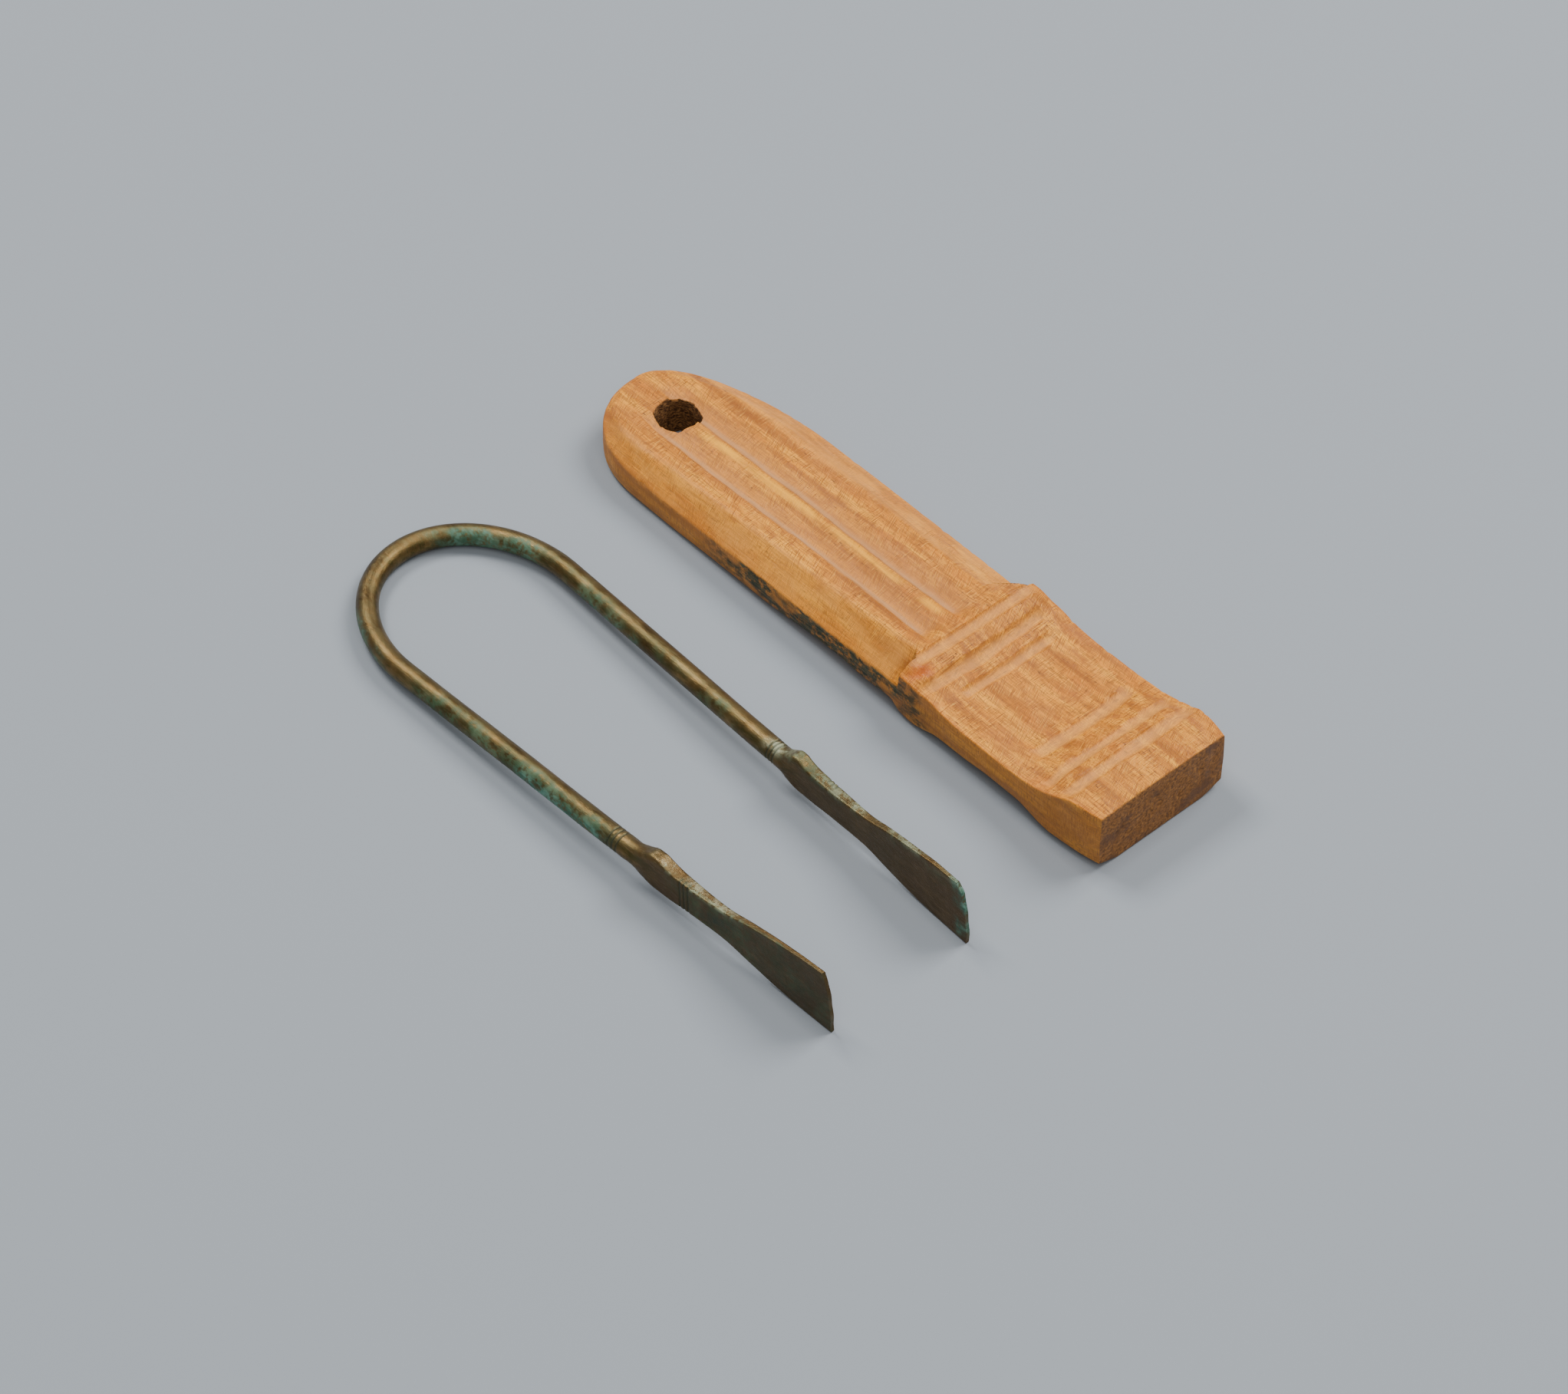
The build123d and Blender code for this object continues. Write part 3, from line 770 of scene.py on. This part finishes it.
# distance, half-height, half-thickness, corner radius, and how square the section is
SECTIONS = {
    -1: [(50, WIRE, WIRE, WIRE, 0), (56.4, WIRE, WIRE, WIRE, 0), (57.8, 1.60, 1.36, 1.2, 0.35),
         (59.4, 2.15, 1.2, 0.8, 0.75), (61.2, 2.93, 1.0, 0.6, 1), (62.1, 2.92, 0.94, 0.42, 1),
         (63.2, 2.58, 0.90, 0.30, 1), (65.4, 2.12, 0.84, 0.24, 1), (67.7, 2.05, 0.76, 0.22, 1),
         (72.6, 2.3, 0.53, 0.2, 1), (77, 3.2, 0.43, 0.16, 1), (81.4, 3.95, 0.36, 0.13, 1),
         (86, 4.42, 0.29, 0.11, 1), (92, BLADE_HALF, 0.24, 0.1, 1)],
    1: [(50, WIRE, WIRE, WIRE, 0), (57.4, WIRE, WIRE, WIRE, 0), (58.4, 1.66, 1.38, 1.2, 0.35),
        (59.4, 2.2, 1.2, 0.8, 0.75), (60.7, 2.93, 0.98, 0.6, 1), (61.4, 2.9, 0.9, 0.42, 1),
        (62.2, 2.55, 0.86, 0.34, 1), (63.8, 2.2, 0.82, 0.28, 1), (67.7, 2.1, 0.74, 0.24, 1),
        (72.6, 2.3, 0.53, 0.2, 1), (77, 3.2, 0.43, 0.16, 1), (81.4, 3.95, 0.36, 0.13, 1),
        (86, 4.42, 0.29, 0.11, 1), (92, BLADE_HALF, 0.24, 0.1, 1)],
}
# the knee stands up more than it hangs down: half-heights of the lower half
LOWER = curve_through([
    (50, WIRE), (57, WIRE), (59.5, 2.0), (61.5, 2.5), (64, 2.48), (67.7, 2.32), (72.6, 2.45),
    (77, 3.22), (81.4, 3.95), (86, 4.42), (92, BLADE_HALF),
])
FLAT_STEPS, CORNER_STEPS, FACE_STEPS = 4, 4, 12
QUARTER = FLAT_STEPS + CORNER_STEPS + FACE_STEPS
AROUND = 4 * QUARTER


def in_spring(u, v, height=0.0):
    """A point in the spring's own tilted plane, v across it and a height over it."""
    u, v, height = np.broadcast_arrays(u, v, height)
    return SPRING_ORIGIN + u[..., None] * SPRING_X + v[..., None] * SPRING_Y + height[..., None] * SPRING_Z


def centre_line(side):
    """Stations along one half of the spring: distances along it and places across it."""
    turn = np.linspace(0, JUNCTION, 64)
    bow_u, bow_v = BOW_DEPTH * (1 - np.cos(turn)), BOW_HALF * np.sin(turn)
    knee = [(60.0, 63.6)]
    arm = list(stations(bow_u[-1] + 0.45, REACH[side], 0.45, knee, 0.15))
    for at in RINGS[side] + MARKS:
        arm.extend(np.arange(at - 0.28, at + 0.28, 0.045))
    arm = np.array(sorted(set(np.round(arm, 4))))
    arm = arm[np.concatenate([[True], np.diff(arm) > 0.02])]
    u = np.concatenate([bow_u, arm])
    v = np.concatenate([bow_v, bow_v[-1] - (arm - bow_u[-1]) * math.tan(CONVERGENCE)])
    wave = 0.12 * flat_point(u, u * 0 + side * 9.0, 131, 17.0)
    wave = wave * smooth(6, 20, u) * (1 - smooth(70, 85, u))
    return u, v + wave


def ring_shape(half_height, half_thick, corner, square, lower):
    """One section: heights and outward distances, starting at the top and going round by the outside."""
    turn = np.linspace(0, 2 * np.pi, AROUND, endpoint=False)
    round_z, round_y = half_height * np.cos(turn), half_thick * np.sin(turn)
    corner = min(corner, half_height, half_thick)
    flat = (half_thick - corner) * np.linspace(0, 1, FLAT_STEPS + 1)[:-1]
    bend = np.linspace(0, np.pi / 2, CORNER_STEPS + 1)[:-1]
    face = np.linspace(1, 0, FACE_STEPS + 1)[:-1] * (half_height - corner)
    y = np.concatenate([flat, half_thick - corner + corner * np.sin(bend), np.full(FACE_STEPS, half_thick)])
    z = np.concatenate([np.full(FLAT_STEPS, half_height), half_height - corner + corner * np.cos(bend), face])
    # a little crown on the flats, because they were hammered and filed by hand
    y = y + 0.05 * half_thick * np.sqrt(np.clip(1 - (z / half_height) ** 2, 0, 1))
    quarter_y, quarter_z = np.append(y, half_thick * 1.05), np.append(z, 0.0)
    square_y = np.concatenate([quarter_y[:-1], quarter_y[:0:-1], -quarter_y[:-1], -quarter_y[:0:-1]])
    square_z = np.concatenate([quarter_z[:-1], -quarter_z[:0:-1], -quarter_z[:-1], quarter_z[:0:-1]])
    z = lerp(round_z, square_z, square)
    return np.where(z < 0, z * lower / half_height, z), lerp(round_y, square_y, square)


def shaped_tip(u, share, side):
    """Distance along the spring once the tip leans and bulges; share is -1 at its foot and 1 at its top."""
    reach = REACH[side]
    rounding = 0.55 if side > 0 else 0.25
    tip = reach - 1.1 * (share + 1) / 2 + 0.35 * (1 - share ** 2) - rounding * smooth(0.72, 1.0, share)
    tip = tip + 0.05 * np.sin(share * 9 + side)
    stretch = (tip - TIP_FROM) / (reach - TIP_FROM)
    return np.where(u > TIP_FROM, TIP_FROM + (u - TIP_FROM) * stretch, u)


def end_cap(ring, turned):
    """Faces across one end's ring, from side to side."""
    half = AROUND // 2
    faces = [(ring[c], ring[c + 1], ring[(AROUND - c - 1) % AROUND], ring[(AROUND - c) % AROUND])
             for c in range(1, half - 1)]
    faces += [(ring[0], ring[1], ring[AROUND - 1]), (ring[half - 1], ring[half], ring[half + 1])]
    return [face[::-1] if turned else face for face in faces]


def spring_mesh(side):
    """Half of the spring: vertices, faces, and each vertex's place along, outward and upward."""
    u, v = centre_line(side)
    table = np.array(SECTIONS[side], float)
    half_height, half_thick, corner, square = [curve_through(table[:, [0, c]])(u) for c in (1, 2, 3, 4)]
    shift = (0, side * 20, 0)
    lower = LOWER(u)
    du, dv = np.gradient(u), np.gradient(v)
    du[0], dv[0] = 0.0, 1.0
    length = np.hypot(du, dv)
    out_u, out_v = -dv / length, du / length
    cut = sum(np.exp(-((u - at) / 0.11) ** 2) for at in RINGS[side])
    mark = sum(np.exp(-((u - at) / 0.12) ** 2) for at in MARKS)
    vertices, facts = [], []
    for n in range(len(u)):
        z, y = ring_shape(half_height[n], half_thick[n], corner[n], square[n], lower[n])
        here = np.stack([np.full(AROUND, u[n]), y, z], -1)
        wear = 1 - 0.012 * (1 + unevenness(here * (1, 0.6, 0.6) + shift, 5.0, 137)) - 0.07 * cut[n]
        y, z = y * wear, z * wear
        y = np.where(y > 0, y - 0.09 * mark[n] * (y > 0.3 * half_thick[n]), y)
        # hammered faces on the blade
        dents = 0.035 * unevenness(here + shift, 2.8, 139) * smooth(63, 70, u[n])
        y = y + dents * (np.abs(z) < half_height[n] * 0.92)
        share = np.clip(np.where(z > 0, z / half_height[n], z / lower[n]), -1, 1)
        at_u = shaped_tip(u[n], share, side)
        vertices.append(in_spring(at_u + out_u[n] * y, v[n] * side + out_v[n] * y * side, z))
        facts.append(np.stack([np.full(AROUND, u[n]), y / half_thick[n], z / half_height[n]], -1))
    rings = len(u)
    ids = np.arange(rings * AROUND).reshape(rings, AROUND)
    ahead = np.roll(ids, -1, axis=1)
    quads = np.stack([ids[:-1], ids[1:], ahead[1:], ahead[:-1]], -1).reshape(-1, 4)
    faces = quads.tolist() + end_cap(ids[0], False) + end_cap(ids[-1], True)
    if side < 0:
        faces = [f[::-1] for f in faces]
    return np.concatenate(vertices), faces, np.concatenate(facts)


def mask_spring(made, side, facts):
    """Where the bronze is green, pale or dark, and where a highlight is painted along its top, by place along
    and round it.
    """
    u, out, up = facts.T
    points = points_and_normals(made)[0]
    broad = unevenness(points + (0, side * 40, 0), 7.0, 151) * 0.5 + 0.5
    small = unevenness(points + (0, side * 40, 0), 2.2, 157) * 0.5 + 0.5
    mixed = broad * 0.55 + small * 0.45

    def zone(low, high, fade=3.0):
        return smooth(low - fade, low + fade, u) * (1 - smooth(high - fade, high + fade, u))

    set_rest(made, points)
    if side < 0:
        green = zone(20, 54) * smooth(-0.5, 0.7, out) * 0.95
        green = green + zone(4, 16) * smooth(-0.1, 0.8, out) * smooth(0.4, -0.6, up)
        green += zone(64, 78, 2) * smooth(0.0, 0.5, out) * 0.55 + zone(80, 91) * smooth(0, 0.5, out) * 0.5
        teal = zone(38, 53, 2) * smooth(0.0, 0.7, out) * smooth(0.9, 0.1, up)
        teal += zone(4, 13, 2) * smooth(0.3, 0.9, out) * 0.6
        comma = np.exp(-((u - 71.5) / 2.6) ** 2 - ((up + 0.1 - 0.14 * (u - 71.5)) / 0.5) ** 2)
        comma = comma * smooth(0.0, 0.5, out)
        pale = zone(60, 75, 3) * smooth(0.75, 0.95, up) * 0.45
        dark = zone(76, 91, 4) * smooth(0.0, 0.5, out) * 0.5 + comma
    else:
        green = zone(-3, 14, 2) * smooth(0.3, -0.5, out) + zone(16, 52, 5) * smooth(0.3, -0.6, out) * 0.8
        green += zone(58, 90) * smooth(0.4, 0.9, up) * 0.5
        teal = zone(89.0, 92, 0.5) * 0.95 + zone(0, 12, 2) * smooth(0.1, -0.6, out) * 0.5
        teal += zone(22, 36, 4) * smooth(-0.2, -0.9, out) * smooth(0.6, -0.2, up) * 0.8
        pale = zone(55.5, 60, 1.5) * smooth(0.2, 0.9, up) * 0.8
        pale = pale + zone(66, 91, 3) * smooth(0.7, 0.95, up) * 0.6
        dark = zone(62, 80, 3) * smooth(0.0, -0.5, out) * 0.25
    set_mask(made, "green", green * smooth(0.32, 0.62, mixed) * 1.25)
    set_mask(made, "teal", teal * smooth(0.38, 0.6, small * 0.7 + broad * 0.3))
    set_mask(made, "pale", pale * smooth(0.35, 0.65, mixed))
    set_mask(made, "dark", dark)
    # a painted highlight along the top of the wire, and a fainter one along the top of the blade
    top_highlight = smooth(0.55, 0.95, up) * (1 - smooth(57, 61, u))
    set_mask(made, "top_highlight", top_highlight + 0.3 * smooth(0.9, 1, up) * smooth(57, 61, u))
    set_mask(made, "blade", smooth(58, 64, u))
    incised = sum(np.exp(-((u - at) / 0.16) ** 2) for at in RINGS[side] + MARKS)
    set_mask(made, "incised", incised * (1 - smooth(64, 65, u) * smooth(0.3, -0.1, out)))


def make_spring(side, material):
    vertices, faces, facts = spring_mesh(side)
    name = SIDE_NAME[side]
    made = new_object("spring_" + name, vertices, faces)
    mask_spring(made, side, facts)
    crisp_edges(made, SPRING_CRISP)
    made.data.materials.append(material)
    # the two points of its centre line where it would flex, worked out but not used
    start_u = BOW_DEPTH * (1 - math.cos(BEND_FROM))
    start_v = BOW_HALF * math.sin(BEND_FROM)
    start = in_spring(np.array(start_u), np.array(side * start_v)) * MM
    junction_u = BOW_DEPTH * (1 - math.cos(JUNCTION))
    end_v = BOW_HALF * math.sin(JUNCTION) - (BEND_TO - junction_u) * math.tan(CONVERGENCE)
    end = in_spring(np.array(BEND_TO), np.array(side * end_v)) * MM
    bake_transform(made)
    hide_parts("bow", name + "_arm")


make_holder()
bronze = bronze_material()
for side in (-1, 1):
    make_spring(side, bronze)
